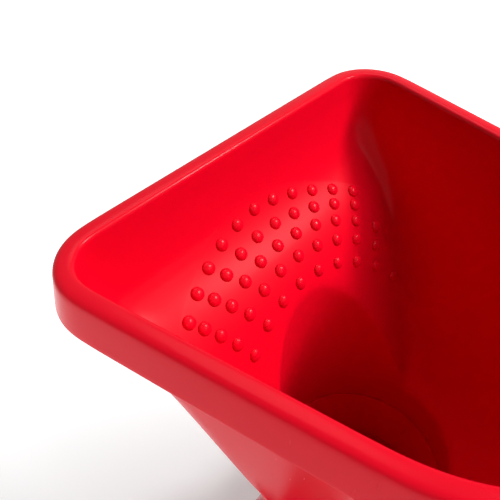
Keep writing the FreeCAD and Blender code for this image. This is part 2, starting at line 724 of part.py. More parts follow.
nodes["handle_spindle"] = turned("handle_spindle", [
    ("0", CAP_FACE + " - cap_length / 2"), ("spindle_radius", CAP_FACE + " - cap_length / 2"),
    ("spindle_radius", HUB_FACE), ("spindle_head_radius", HUB_FACE),
    ("spindle_head_radius", HUB_FACE + " + spindle_head"), ("0", HUB_FACE + " + spindle_head"),
], HANDLE_AXIS, "Y")
nodes["handle_grip"] = turned("handle_grip", [
    (SPINDLE_BORE, GRIP_END), ("grip_face_radius", GRIP_END),
    ("grip_end_radius", GRIP_END + " + grip_end_length"),
    ("grip_belly_radius", GRIP_END + " + grip_length / 2"),
    ("grip_neck_radius", GRIP_FACE + " - grip_neck_length"), ("grip_neck_radius", GRIP_FACE),
    (SPINDLE_BORE, GRIP_FACE),
], HANDLE_AXIS, "Y")
nodes["spindle_cap"] = turned("spindle_cap", [
    ("0", CAP_FACE + " - cap_length"), ("cap_face_radius", CAP_FACE + " - cap_length"),
    ("cap_radius", CAP_FACE + " - cap_length / 2"), ("cap_radius", CAP_FACE), (SPINDLE_BORE, CAP_FACE),
    (SPINDLE_BORE, CAP_FACE + " - cap_length / 2"), ("0", CAP_FACE + " - cap_length / 2"),
], HANDLE_AXIS, "Y")

# Suction foot: dome with a slot for the lever, closing plate, rubber pad, stem and the lever that lifts it.

FOOT_LOW = "pad_lip_height + axial_gap"
FOOT_HIGH = "pad_lip_height + axial_gap + stem_foot"
PAD_ROOF = "(pad_lip_height + 2 * axial_gap + stem_foot + stem_lift)"
nodes["suction_pad"] = turned("suction_pad", [
    ("0", "0"), ("pad_radius", "0"),
    ("pad_radius", "pad_lip_height"), ("pad_radius - pad_lip_width", "pad_thickness"),
    ("pad_hub_radius", "pad_thickness"), ("pad_hub_radius", "pad_hub_height"),
    ("stem_neck_radius + axial_gap", "pad_hub_height"), ("stem_neck_radius + axial_gap", PAD_ROOF),
    ("stem_foot_radius + axial_gap", PAD_ROOF), ("stem_foot_radius + axial_gap", "pad_lip_height"),
    ("0", "pad_lip_height"),
])
PLATE_TOP = "(plate_height + plate_thickness)"
STEM_SHOULDER = "pad_hub_height + axial_gap"
nodes["pad_stem"] = turned("pad_stem", [
    ("0", FOOT_LOW), ("stem_foot_radius", FOOT_LOW), ("stem_foot_radius", FOOT_HIGH),
    ("stem_neck_radius", FOOT_HIGH), ("stem_neck_radius", STEM_SHOULDER), ("stem_radius", STEM_SHOULDER),
    ("stem_radius", FOOT_LOW + " + stem_length"), ("0", FOOT_LOW + " + stem_length"),
])
GUIDE_LOW = "(base_height - base_deck - guide_length)"
STEM_BORE = "stem_radius + running_clearance"
shell = turned("dome", [
    (STEM_BORE, GUIDE_LOW), ("guide_radius", GUIDE_LOW), ("guide_radius", "base_height - base_deck"),
    ("base_top_radius - base_wall", "base_height - base_deck"),
    ("base_shoulder_radius - base_wall", "base_shoulder_height"),
    ("base_radius - base_wall", "base_rim_height"), ("base_radius - base_wall", "base_lift"),
    ("base_radius", "base_lift"), ("base_radius", "base_rim_height"),
    ("base_shoulder_radius", "base_shoulder_height + base_deck"), ("base_top_radius", "base_height"),
    (STEM_BORE, "base_height"),
])
shell = round_edges(shell, "base_round", [
    (dims.base_radius, dims.base_rim_height),
    (dims.base_shoulder_radius, dims.base_shoulder_height + dims.base_deck),
])
posts = []
post_bores = []
post_places = [
    on_circle("post_circle", "post_first_angle + %d * post_step" % index)
    for index in range(int(dims.post_count))
]
POST_LENGTH = "base_shoulder_height + 2 * base_deck - " + PLATE_TOP
for across, along in post_places:
    posts.append(cylinder("post_radius", POST_LENGTH, (across, along, PLATE_TOP)))
    post_bores.append(cylinder(FASTENER_BORE, "screw_length + axial_gap", (across, along, "plate_height")))
slot_sector = cylinder(
    "2 * base_radius", "lever_thickness + 2 * lever_slot_clearance",
    ("0", "0", "lever_height - lever_slot_clearance"), "Z", "lever_throw + 2 * lever_slot_margin",
    "lever_start - lever_slot_margin",
)
deck_bores = [
    cylinder(FASTENER_BORE, "3 * base_deck", (across, along, "base_height - 2 * base_deck"))
    for across, along in flange_screw_places
]
slot = cut(slot_sector, cylinder("lever_hub_radius", "base_height"))
nodes["base_shell"] = cut(fuse(shell, *posts), slot, *post_bores, *deck_bores)
plate = turned("plate", [
    ("pad_hub_radius + axial_gap", "plate_height"), ("plate_radius", "plate_height"),
    ("plate_radius", PLATE_TOP), ("pad_hub_radius + axial_gap", PLATE_TOP),
])
plate_bores = [
    cylinder(FASTENER_BORE, "3 * plate_thickness", (across, along, "plate_height - plate_thickness"))
    for across, along in post_places
]
nodes["base_plate"] = cut(plate, *plate_bores)
lever_hub = turned("lever_hub", [
    (STEM_BORE, PLATE_TOP + " + axial_gap"), ("lever_hub_radius", PLATE_TOP + " + axial_gap"),
    ("lever_hub_radius", GUIDE_LOW + " - axial_gap"), (STEM_BORE, GUIDE_LOW + " - axial_gap"),
])
LEVER_TIP = "lever_reach - lever_width / 2"
lever_arm = box(LEVER_TIP, "lever_width", "lever_thickness", ("0", "-lever_width / 2", "lever_height"))
lever_tip = cylinder("lever_width / 2", "lever_thickness", (LEVER_TIP, "0", "lever_height"))
lever_bore = cylinder(STEM_BORE, "base_height")
lever = cut(fuse(lever_hub, lever_arm, lever_tip), lever_bore)
nodes["suction_lever"] = put(lever, spin="lever_start")


def screw(name, across, along, seat, length):
    """Pan-head screw whose head sits under the seat and whose shank points up."""
    body = turned(name, [
        ("0", "-screw_head"), ("screw_head_radius", "-screw_head"), ("screw_head_radius", "0"),
        ("screw_radius", "0"), ("screw_radius", length), ("0", length),
    ])
    return put(body, (across, along, seat))


def group(pieces):
    obj = doc.addObject("Part::Compound", "group")
    obj.Links = pieces
    return obj


nodes["base_screws"] = group([
    screw("base_screw", across, along, "plate_height", "screw_length") for across, along in post_places
])
nodes["housing_screws"] = group([
    screw("housing_screw", across, along, "base_height - base_deck", "flange_screw_length")
    for across, along in flange_screw_places
])

doc.recompute()
faults = [obj.Label for obj in doc.Objects if "Invalid" in obj.State or "Error" in obj.State]
for label, obj in nodes.items():
    obj.Label = label
    if obj.Shape.isNull() or not obj.Shape.isValid() or not obj.Shape.Solids:
        faults.append(label)
if faults:
    raise RuntimeError("failed objects: " + ", ".join(faults))

os.makedirs("parts", exist_ok=True)
for label, obj in nodes.items():
    obj.Shape.exportStep("parts/%s.step" % label)
    print("%-16s solids %d  volume %10.1f  box %s" % (
        label, len(obj.Shape.Solids), obj.Shape.Volume, obj.Shape.BoundBox))
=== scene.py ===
import math

import bmesh
import bpy
from mathutils import Matrix, Vector


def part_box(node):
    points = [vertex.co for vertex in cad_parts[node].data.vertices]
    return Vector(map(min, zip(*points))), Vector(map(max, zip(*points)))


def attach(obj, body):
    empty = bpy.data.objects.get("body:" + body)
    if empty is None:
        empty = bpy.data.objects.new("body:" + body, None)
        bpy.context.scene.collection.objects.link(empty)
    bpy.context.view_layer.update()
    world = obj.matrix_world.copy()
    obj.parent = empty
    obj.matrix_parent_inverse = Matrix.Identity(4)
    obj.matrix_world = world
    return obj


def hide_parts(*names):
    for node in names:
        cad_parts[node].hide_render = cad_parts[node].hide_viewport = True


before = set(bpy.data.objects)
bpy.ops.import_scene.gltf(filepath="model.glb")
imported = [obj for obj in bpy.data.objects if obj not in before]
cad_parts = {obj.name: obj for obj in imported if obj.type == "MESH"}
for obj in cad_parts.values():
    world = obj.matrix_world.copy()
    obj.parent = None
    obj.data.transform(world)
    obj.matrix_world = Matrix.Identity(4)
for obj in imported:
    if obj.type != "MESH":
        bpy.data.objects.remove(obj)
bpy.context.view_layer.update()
MM = 0.001

# Suction pad: one soft black rubber disc under the foot, with a thin sealing lip all round and a hub that
# holds the stem's foot. It is moulded, and the foot stands on it.


def moulded_skin():
    """Node group for moulded plastic: faint flow mottling, fine orange peel and a few rubbed hairlines."""
    group = bpy.data.node_groups.new("moulded_skin", "ShaderNodeTree")
    for name, kind in (("Color", "NodeSocketColor"), ("Roughness", "NodeSocketFloat"),
                       ("Mottle", "NodeSocketFloat"), ("Scuffs", "NodeSocketFloat")):
        group.interface.new_socket(name, in_out="INPUT", socket_type=kind)
    for name, kind in (("Color", "NodeSocketColor"), ("Roughness", "NodeSocketFloat"),
                       ("Height", "NodeSocketFloat")):
        group.interface.new_socket(name, in_out="OUTPUT", socket_type=kind)
    nodes, links = group.nodes, group.links
    given = nodes.new("NodeGroupInput")
    made = nodes.new("NodeGroupOutput")
    place = nodes.new("ShaderNodeTexCoord")

    flow = nodes.new("ShaderNodeTexNoise")
    flow.inputs["Scale"].default_value = 28
    flow.inputs["Detail"].default_value = 3
    links.new(place.outputs["Object"], flow.inputs["Vector"])
    shade = nodes.new("ShaderNodeMapRange")
    shade.inputs["To Min"].default_value = -1
    shade.inputs["To Max"].default_value = 1
    links.new(flow.outputs["Fac"], shade.inputs["Value"])
    amount = nodes.new("ShaderNodeMath")
    amount.operation = "MULTIPLY_ADD"
    amount.inputs[2].default_value = 1
    links.new(shade.outputs["Result"], amount.inputs[0])
    links.new(given.outputs["Mottle"], amount.inputs[1])
    tint = nodes.new("ShaderNodeVectorMath")
    tint.operation = "SCALE"
    links.new(given.outputs["Color"], tint.inputs[0])
    links.new(amount.outputs["Value"], tint.inputs["Scale"])
    links.new(tint.outputs["Vector"], made.inputs["Color"])

    hairline = nodes.new("ShaderNodeMapping")
    hairline.inputs["Scale"].default_value = (900, 900, 60)
    hairline.inputs["Rotation"].default_value = (0.6, 0.5, 0.9)
    links.new(place.outputs["Object"], hairline.inputs["Vector"])
    rubbed = nodes.new("ShaderNodeTexNoise")
    rubbed.inputs["Scale"].default_value = 1
    links.new(hairline.outputs["Vector"], rubbed.inputs["Vector"])
    patch = nodes.new("ShaderNodeTexNoise")
    patch.inputs["Scale"].default_value = 70
    links.new(place.outputs["Object"], patch.inputs["Vector"])
    lines = nodes.new("ShaderNodeMapRange")
    lines.inputs["From Min"].default_value = 0.66
    lines.inputs["From Max"].default_value = 0.74
    links.new(rubbed.outputs["Fac"], lines.inputs["Value"])
    patches = nodes.new("ShaderNodeMapRange")
    patches.inputs["From Min"].default_value = 0.6
    patches.inputs["From Max"].default_value = 0.7
    links.new(patch.outputs["Fac"], patches.inputs["Value"])
    both = nodes.new("ShaderNodeMath")
    both.operation = "MULTIPLY"
    links.new(lines.outputs["Result"], both.inputs[0])
    links.new(patches.outputs["Result"], both.inputs[1])
    scuffs = nodes.new("ShaderNodeMath")
    scuffs.operation = "MULTIPLY"
    links.new(both.outputs["Value"], scuffs.inputs[0])
    links.new(given.outputs["Scuffs"], scuffs.inputs[1])
    rough = nodes.new("ShaderNodeMath")
    rough.operation = "MULTIPLY_ADD"
    rough.inputs[1].default_value = 0.25
    links.new(scuffs.outputs["Value"], rough.inputs[0])
    links.new(given.outputs["Roughness"], rough.inputs[2])
    links.new(rough.outputs["Value"], made.inputs["Roughness"])

    peel = nodes.new("ShaderNodeTexNoise")
    peel.inputs["Scale"].default_value = 900
    links.new(place.outputs["Object"], peel.inputs["Vector"])
    height = nodes.new("ShaderNodeMath")
    height.operation = "SUBTRACT"
    links.new(peel.outputs["Fac"], height.inputs[0])
    links.new(scuffs.outputs["Value"], height.inputs[1])
    links.new(height.outputs["Value"], made.inputs["Height"])
    return group


def plastic(name, color, roughness, mottle=0.05, scuffs=0.5, peel=0.012, shine=0.2):
    """Moulded plastic of one colour on the shared skin."""
    material = bpy.data.materials.new(name)
    material.use_nodes = True
    nodes, links = material.node_tree.nodes, material.node_tree.links
    shader = nodes["Principled BSDF"]
    skin_group = nodes.new("ShaderNodeGroup")
    skin_group.node_tree = bpy.data.node_groups.get("moulded_skin") or moulded_skin()
    skin_group.inputs["Color"].default_value = (*color, 1)
    skin_group.inputs["Roughness"].default_value = roughness
    skin_group.inputs["Mottle"].default_value = mottle
    skin_group.inputs["Scuffs"].default_value = scuffs
    bump = nodes.new("ShaderNodeBump")
    bump.inputs["Strength"].default_value = peel
    bump.inputs["Distance"].default_value = MM
    shader.inputs["Specular IOR Level"].default_value = shine
    links.new(skin_group.outputs["Color"], shader.inputs["Base Color"])
    links.new(skin_group.outputs["Roughness"], shader.inputs["Roughness"])
    links.new(skin_group.outputs["Height"], bump.inputs["Height"])
    links.new(bump.outputs["Normal"], shader.inputs["Normal"])
    return material


def grid_skin(name, rings):
    """Closed skin through rings of points: a grid primitive laid on them, its seams merged."""
    across, along = len(rings[0]), len(rings)
    bpy.ops.object.select_all(action="DESELECT")
    bpy.ops.mesh.primitive_grid_add(x_subdivisions=across, y_subdivisions=along, size=1)
    piece = bpy.context.object
    piece.name = name
    for index, vertex in enumerate(piece.data.vertices):
        row, column = divmod(index, across + 1)
        vertex.co = rings[row % along][column % across]
    bpy.ops.object.mode_set(mode="EDIT")
    bpy.ops.mesh.select_all(action="SELECT")
    bpy.ops.mesh.remove_doubles(threshold=MM / 1000)
    bpy.ops.mesh.normals_make_consistent(inside=False)
    bpy.ops.object.mode_set(mode="OBJECT")
    return piece


def subdivided(piece, levels):
    """Apply a subdivision surface, as smooth as the given levels."""
    rounding = piece.modifiers.new("rounding", "SUBSURF")
    rounding.levels = rounding.render_levels = levels
    bpy.context.view_layer.objects.active = piece
    bpy.ops.object.modifier_apply(modifier=rounding.name)
    bpy.ops.object.shade_smooth()
    return piece


def turned(name, profile, axis="Z", place=(0.0, 0.0), steps=72):
    """A closed profile of (radius, height) corners in millimetres, spun once round its axis."""
    bpy.ops.object.select_all(action="DESELECT")
    bpy.ops.mesh.primitive_circle_add(vertices=len(profile), radius=1)
    piece = bpy.context.object
    piece.name = name
    for vertex, (radius, height) in zip(piece.data.vertices, profile):
        if axis == "Z":
            vertex.co = Vector((place[0] + radius, place[1], height)) * MM
        else:
            vertex.co = Vector((place[0] + radius, height, place[1])) * MM
    centre = (place[0] * MM, place[1] * MM, 0) if axis == "Z" else (place[0] * MM, 0, place[1] * MM)
    spindle = (0, 0, 1) if axis == "Z" else (0, 1, 0)
    bpy.ops.object.mode_set(mode="EDIT")
    bpy.ops.mesh.select_all(action="SELECT")
    bpy.ops.mesh.spin(steps=steps, angle=2 * math.pi, center=centre, axis=spindle)
    bpy.ops.mesh.select_all(action="SELECT")
    bpy.ops.mesh.remove_doubles(threshold=MM / 1000)
    bpy.ops.mesh.normals_make_consistent(inside=False)
    bpy.ops.object.mode_set(mode="OBJECT")
    bpy.ops.object.shade_smooth_by_angle(angle=math.radians(35))
    return piece


def dressed(node, width):
    """A merged copy of a CAD node with its sharp edges rounded to the given width in millimetres."""
    bpy.ops.object.select_all(action="DESELECT")
    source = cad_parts[node]
    piece = bpy.data.objects.new(node + "_moulding", source.data.copy())
    bpy.context.scene.collection.objects.link(piece)
    piece.select_set(True)
    bpy.context.view_layer.objects.active = piece
    bpy.ops.object.mode_set(mode="EDIT")
    bpy.ops.mesh.select_all(action="SELECT")
    bpy.ops.mesh.remove_doubles(threshold=MM / 200)
    bpy.ops.mesh.dissolve_limited(angle_limit=math.radians(0.5))
    bpy.ops.object.mode_set(mode="OBJECT")
    if width:
        edges = piece.modifiers.new("edges", "BEVEL")
        edges.limit_method = "ANGLE"
        edges.angle_limit = math.radians(40)
        edges.width = width * MM
        edges.segments = 2
        bpy.ops.object.modifier_apply(modifier=edges.name)
    bpy.ops.object.shade_smooth_by_angle(angle=math.radians(35))
    return piece


def fit(piece, material, body, slot, *replaced):
    """Give a finished piece its material, the body it rides on and the nodes it stands for; the slot argument
    is not used.
    """
    piece.data.materials.clear()
    piece.data.materials.append(material)
    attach(piece, body)
    if replaced:
        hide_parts(*replaced)


rubber = plastic("rubber", (0.021, 0.021, 0.023), 0.62, mottle=0.25, scuffs=1.0, peel=0.08, shine=0.3)
pad = turned("sealing_pad", [
    (0, 1.8), (30, 1.6), (44, 0.6), (46, 0), (50.2, 0), (51, 0.7), (51, 2.3), (50.3, 3.1), (44.6, 5.7),
    (43.6, 6), (18, 6), (14.4, 6.4), (13, 7.8), (13, 12.2), (12.2, 13), (4.9, 13), (4.3, 12.5), (4.3, 9.1),
    (8.3, 9.1), (8.3, 3), (0, 3),
])
fit(pad, rubber, "stand", "rubber", "suction_pad")

# Stem, screws and closing plate: the turned steel stem has its foot in the pad's hub and is lifted by the
# lever; three zinc-plated screws hold the white plate that keeps the lever in the foot.


def metal(name, color, roughness, lines):
    """Bare metal with fine drawn lines and a slight change of tone along them."""
    material = bpy.data.materials.new(name)
    material.use_nodes = True
    nodes, links = material.node_tree.nodes, material.node_tree.links
    shader = nodes["Principled BSDF"]
    shader.inputs["Metallic"].default_value = 1
    place = nodes.new("ShaderNodeTexCoord")
    drawn = nodes.new("ShaderNodeMapping")
    drawn.inputs["Scale"].default_value = lines
    links.new(place.outputs["Object"], drawn.inputs["Vector"])
    streaks = nodes.new("ShaderNodeTexNoise")
    streaks.inputs["Scale"].default_value = 1
    streaks.inputs["Detail"].default_value = 4
    links.new(drawn.outputs["Vector"], streaks.inputs["Vector"])
    tone = nodes.new("ShaderNodeMix")
    tone.data_type = "RGBA"
    tone.inputs["A"].default_value = (*(0.85 * part for part in color), 1)
    tone.inputs["B"].default_value = (*color, 1)
    links.new(streaks.outputs["Fac"], tone.inputs["Factor"])
    links.new(tone.outputs["Result"], shader.inputs["Base Color"])
    dull = nodes.new("ShaderNodeMapRange")
    dull.inputs["To Min"].default_value = roughness - 0.08
    dull.inputs["To Max"].default_value = roughness + 0.12
    links.new(streaks.outputs["Fac"], dull.inputs["Value"])
    links.new(dull.outputs["Result"], shader.inputs["Roughness"])
    bump = nodes.new("ShaderNodeBump")
    bump.inputs["Strength"].default_value = 0.02
    bump.inputs["Distance"].default_value = MM
    links.new(streaks.outputs["Fac"], bump.inputs["Height"])
    links.new(bump.outputs["Normal"], shader.inputs["Normal"])
    return material


def paint(node, material):
    """Keep a CAD node's own shape and give it a material."""
    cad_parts[node].data.materials.clear()
    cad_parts[node].data.materials.append(material)


steel = metal("steel", (0.62, 0.62, 0.63), 0.3, (500, 30, 500))
zinc = metal("zinc", (0.55, 0.56, 0.58), 0.36, (600, 600, 600))
white_plastic = plastic("white_plastic", (0.66, 0.65, 0.61), 0.34, mottle=0.03, scuffs=0.8, peel=0.015)
paint("pad_stem", steel)
paint("base_screws", zinc)
paint("base_plate", white_plastic)

# Foot: a red moulded dome with a slot for the lever. The white lever turns a quarter turn under the dome
# and lifts the stem, which draws the pad up against the table.

red_plastic = plastic("red_plastic", (0.71, 0.001, 0.014), 0.22, scuffs=0.8, shine=0.1)
fit(dressed("base_shell", 0.5), red_plastic, "stand", "red_plastic", "base_shell")
fit(dressed("suction_lever", 1.1), white_plastic, "lever", "white_plastic", "suction_lever")

# Housing: one red moulding with the barrel, the inlet tower, the pedestal and the tongue for the chute.
# Three zinc-plated screws from inside the foot hold its flange.

fit(dressed("body_housing", 0.7), red_plastic, "stand", "red_plastic", "body_housing")
paint("housing_screws", zinc)

# Drive: a steel shaft with square ends in a plastic bush, a rubber seal and a thrust washer, and the red
# moulded auger on the front square.

bush_plastic = plastic("bush_plastic", (0.62, 0.57, 0.45), 0.4, mottle=0.06)
paint("rear_bush", bush_plastic)
paint("thrust_washer", bush_plastic)
paint("shaft_seal", rubber)
paint("drive_shaft", steel)
fit(dressed("auger", 0), red_plastic, "crank", "red_plastic", "auger")

# Strainer: a cone of thin perforated stainless sheet with a plain flange at its mouth and a plain tip. The
# holes are punched in close rows before the sheet is rolled.

AXIS_HEIGHT = 130.0
SHEET = 0.8
SCREEN_MOUTH = 25.0
SCREEN_TIP = 13.3
SCREEN_START = 53.2
SCREEN_END = 151.2
SCREEN_SLOPE = (SCREEN_TIP - SCREEN_MOUTH) / (SCREEN_END - SCREEN_START)
HOLE_COLUMNS = 46
HOLE_ROWS = 33
PLAIN_MARGIN = 4.0
HOLE_SHARE = 0.3  # a hole's radius in steps of the hole pattern
PATTERN_POINT = 0.05
RIM_SLACK = 0.02
bpy.ops.object.select_all(action="DESELECT")
bpy.ops.mesh.primitive_grid_add(x_subdivisions=HOLE_COLUMNS, y_subdivisions=HOLE_ROWS, size=2)
screen = bpy.context.object
screen.name = "perforated_cone"
for vertex in screen.data.vertices:
    vertex.co.x *= HOLE_COLUMNS / 2
    vertex.co.y *= HOLE_ROWS / 2
bpy.ops.object.mode_set(mode="EDIT")
bpy.ops.mesh.select_all(action="DESELECT")
sheet = bmesh.from_edit_mesh(screen.data)
for vertex in sheet.verts:
    vertex.select = not vertex.is_boundary
sheet.select_flush(False)
bmesh.update_edit_mesh(screen.data)
bpy.ops.mesh.bevel(offset=HOLE_SHARE, offset_type="OFFSET", segments=2, affect="VERTICES", profile=0.3)
bpy.ops.mesh.select_all(action="DESELECT")
sheet = bmesh.from_edit_mesh(screen.data)
for face in sheet.faces:
    middle = face.calc_center_median()
    column = middle.x + HOLE_COLUMNS / 2
    row = middle.y + HOLE_ROWS / 2
    face.select = math.hypot(column - round(column), row - round(row)) < HOLE_SHARE
bmesh.update_edit_mesh(screen.data)
bpy.ops.mesh.delete(type="FACE")
bpy.ops.object.mode_set(mode="OBJECT")
for vertex in screen.data.vertices:
    column = vertex.co.x + HOLE_COLUMNS / 2
    row = vertex.co.y + HOLE_ROWS / 2
    reach = Vector((column - round(column), row - round(row)))
    if PATTERN_POINT < reach.length < HOLE_SHARE + RIM_SLACK:
        reach = reach.normalized() * HOLE_SHARE
        vertex.co.x = round(column) + reach.x - HOLE_COLUMNS / 2
        vertex.co.y = round(row) + reach.y - HOLE_ROWS / 2
    share = vertex.co.y / HOLE_ROWS + 0.5
    turn = 2 * math.pi * vertex.co.x / HOLE_COLUMNS
    along = SCREEN_START + PLAIN_MARGIN + (SCREEN_END - SCREEN_START - 2 * PLAIN_MARGIN) * share
    radius = SCREEN_MOUTH + SCREEN_SLOPE * (along - SCREEN_START)
    vertex.co = Vector((radius * math.cos(turn), along, AXIS_HEIGHT + radius * math.sin(turn))) * MM
bpy.ops.object.mode_set(mode="EDIT")
bpy.ops.mesh.select_all(action="SELECT")
bpy.ops.mesh.remove_doubles(threshold=MM / 1000)
bpy.ops.mesh.normals_make_consistent(inside=False)
bpy.ops.object.mode_set(mode="OBJECT")
wall = screen.modifiers.new("sheet", "SOLIDIFY")
wall.thickness = SHEET * MM
wall.offset = -1
bpy.ops.object.modifier_apply(modifier=wall.name)
bpy.ops.object.shade_smooth_by_angle(angle=math.radians(30))
mouth_foot = SCREEN_MOUTH + SCREEN_SLOPE * PLAIN_MARGIN
tip_foot = SCREEN_TIP - SCREEN_SLOPE * PLAIN_MARGIN
mouth = turned("screen_mouth", [
    (24.2, 52), (29.1, 52), (29.5, 52.4), (29.5, 52.9), (29.1, 53.2), (25.4, 53.2),
    (mouth_foot, SCREEN_START + PLAIN_MARGIN), (mouth_foot - SHEET, SCREEN_START + PLAIN_MARGIN),
    (24.2, 53.2),
], "Y", (0, AXIS_HEIGHT))
tip = turned("screen_tip", [
    (tip_foot, SCREEN_END - PLAIN_MARGIN), (SCREEN_TIP, SCREEN_END), (SCREEN_TIP, 157.2), (12.5, 157.2),
    (12.5, SCREEN_END), (tip_foot - SHEET, SCREEN_END - PLAIN_MARGIN),
], "Y", (0, AXIS_HEIGHT))
bpy.ops.object.select_all(action="DESELECT")
for piece in (mouth, tip, screen):
    piece.select_set(True)
bpy.context.view_layer.objects.active = screen
bpy.ops.object.join()
fit(screen, steel, "stand", "steel", "strainer_screen")

# Screen ring: a white moulded ring with finger ribs all round. Three lugs inside it pass the flange's
# notches, and an eighth of a turn clamps the cone on the barrel.

RIBS = 30
RIB_DEPTH = 0.9
RIB_STEPS = 6
ring_profile = [
    (30.05, 43.3, 0), (32.2, 43.3, 0), (32.9, 43.8, 0.5), (33.65, 45.0, 1), (33.65, 49.5, 1),
    (33.65, 54.0, 1), (33.1, 55.7, 0.5), (32.0, 56.7, 0), (31, 57, 0), (28, 57, 0), (27.3, 56.4, 0),
    (27.3, 53.5, 0), (30.05, 53.5, 0),
]
ring_rings = []
for radius, height, rib in ring_profile:
    line = []
    for step in range(RIBS * RIB_STEPS):
        turn = 2 * math.pi * step / (RIBS * RIB_STEPS)
        reach = radius - RIB_DEPTH * rib * (1 - math.cos(RIBS * turn)) / 2
        line.append(Vector((reach * math.cos(turn), height, AXIS_HEIGHT + reach * math.sin(turn))) * MM)
    ring_rings.append(line)
ring = grid_skin("ribbed_ring", ring_rings)
bpy.ops.object.shade_smooth_by_angle(angle=math.radians(40))
LUGS = 3
LUG_ANGLE = math.radians(24)
LUG_REACH = 30.0
LUG_DEPTH = 3.7
LUG_PLACE = 44.5
LUG_WIDTH = 2.4
lugs = []
for index in range(LUGS):
    bpy.ops.object.select_all(action="DESELECT")
    bpy.ops.mesh.primitive_cube_add(size=1)
    lug = bpy.context.object
    bpy.ops.object.mode_set(mode="EDIT")
    bpy.ops.mesh.select_all(action="SELECT")
    bpy.ops.mesh.subdivide(number_cuts=5)
    bpy.ops.object.mode_set(mode="OBJECT")
    for vertex in lug.data.vertices:
        turn = -2 * math.pi * index / LUGS + LUG_ANGLE * vertex.co.x
        reach = LUG_REACH + LUG_DEPTH * vertex.co.y
        height = LUG_PLACE + LUG_WIDTH * vertex.co.z
        vertex.co = Vector((reach * math.cos(turn), height, AXIS_HEIGHT + reach * math.sin(turn))) * MM
    bpy.ops.object.mode_set(mode="EDIT")
    bpy.ops.mesh.select_all(action="SELECT")
    bpy.ops.mesh.normals_make_consistent(inside=False)
    bpy.ops.object.mode_set(mode="OBJECT")
    lugs.append(lug)
bpy.ops.object.select_all(action="DESELECT")
for piece in (*lugs, ring):
    piece.select_set(True)
bpy.context.view_layer.objects.active = ring
bpy.ops.object.join()
fit(ring, white_plastic, "ring", "white_plastic", "screen_ring")

# Waste spout: a short white moulded nozzle pushed on the cone's plain tip, with a bead round its mouth. Skins
# and seeds leave the cone through it.

spout = turned("nozzle", [
    (13.35, 151.5), (15.0, 151.5), (15.55, 152.1), (15.55, 158.4), (15.3, 159.6), (14.6, 162), (14.2, 170.5),
    (14.5, 171.4), (15.2, 172.2), (15.4, 173.4), (15.2, 174.6), (14.5, 175.2), (13.2, 175.2), (12.5, 174.5),
    (12.5, 157.2), (13.35, 157.2),
], "Y", (0, AXIS_HEIGHT))
fit(spout, white_plastic, "stand", "white_plastic", "waste_spout")

# Juice chute: a red half-round trough under the cone, open at its lower end, with a socket that slides on
# the housing's tongue.

fit(dressed("juice_chute", 0.6), red_plastic, "chute", "red_plastic", "juice_chute")

# Crank: a white moulded arm on the shaft's rear square, held by a zinc-plated screw. A steel spindle in its
# lower end carries the red grip, which turns freely under a white cap.

fit(dressed("crank_arm", 0.9), white_plastic, "crank", "white_plastic", "crank_arm")
SCREW_FACE = -78.5
RECESS_WIDTH = 1.2
RECESS_LENGTH = 6.0
RECESS_DEPTH = 1.6
screw = turned("hub_screw", [
    (0, SCREW_FACE), (3.6, -78.4), (5.6, -77.6), (6.4, -76.4), (6.5, -75.4), (6.3, -75), (2.4, -75),
    (2.4, -63), (0, -63),
], "Y", (0, AXIS_HEIGHT), 40)
for width, height in ((RECESS_WIDTH, RECESS_LENGTH), (RECESS_LENGTH, RECESS_WIDTH)):
    bpy.ops.object.select_all(action="DESELECT")
    bpy.ops.mesh.primitive_cube_add(size=1)
    slot = bpy.context.object
    for vertex in slot.data.vertices:
        depth = SCREW_FACE + vertex.co.y * 2 * RECESS_DEPTH
        vertex.co = Vector((vertex.co.x * width, depth, AXIS_HEIGHT + vertex.co.z * height)) * MM
    recess = screw.modifiers.new("recess", "BOOLEAN")
    recess.operation = "DIFFERENCE"
    recess.object = slot
    bpy.context.view_layer.objects.active = screw
    bpy.ops.object.modifier_apply(modifier=recess.name)
    bpy.data.objects.remove(slot)
fit(screw, zinc, "crank", "zinc", "crank_screw")
paint("handle_spindle", steel)
HANDLE = (0, 35.0)
grip = turned("grip_sleeve", [
    (4.05, -147.3), (8.6, -147.3), (9.9, -146.6), (10.7, -144.5), (11.2, -141), (11.9, -133), (12.35, -122),
    (12.5, -111), (12.2, -101), (11.3, -92.5), (10.1, -87.5), (9.3, -85.4), (9.0, -84.2), (9.0, -83),
    (9.4, -82.6), (9.4, -81.4), (9.0, -81), (9.0, -77), (8.6, -75.7), (8.0, -75.3), (4.05, -75.3),
], "Y", HANDLE)
fit(grip, red_plastic, "grip", "red_plastic", "handle_grip")
cap = turned("grip_cap", [
    (0, -152.6), (2.5, -152.5), (4.5, -152.1), (5.8, -151.2), (6.4, -149.8), (6.5, -148.6), (6.2, -147.6),
    (4.05, -147.6), (4.05, -150.1), (0, -150.1),
], "Y", HANDLE, 40)
fit(cap, white_plastic, "crank", "white_plastic", "spindle_cap")

# Hopper: one injection-moulded shell of glossy red plastic. A wide straight end and tapering sides run to a
# round end; inside, the end wall rolls over a bumped apron into a deep round cup, whose neck drops into the
# housing's collar. The rim is folded over into a lip and a short flared skirt.

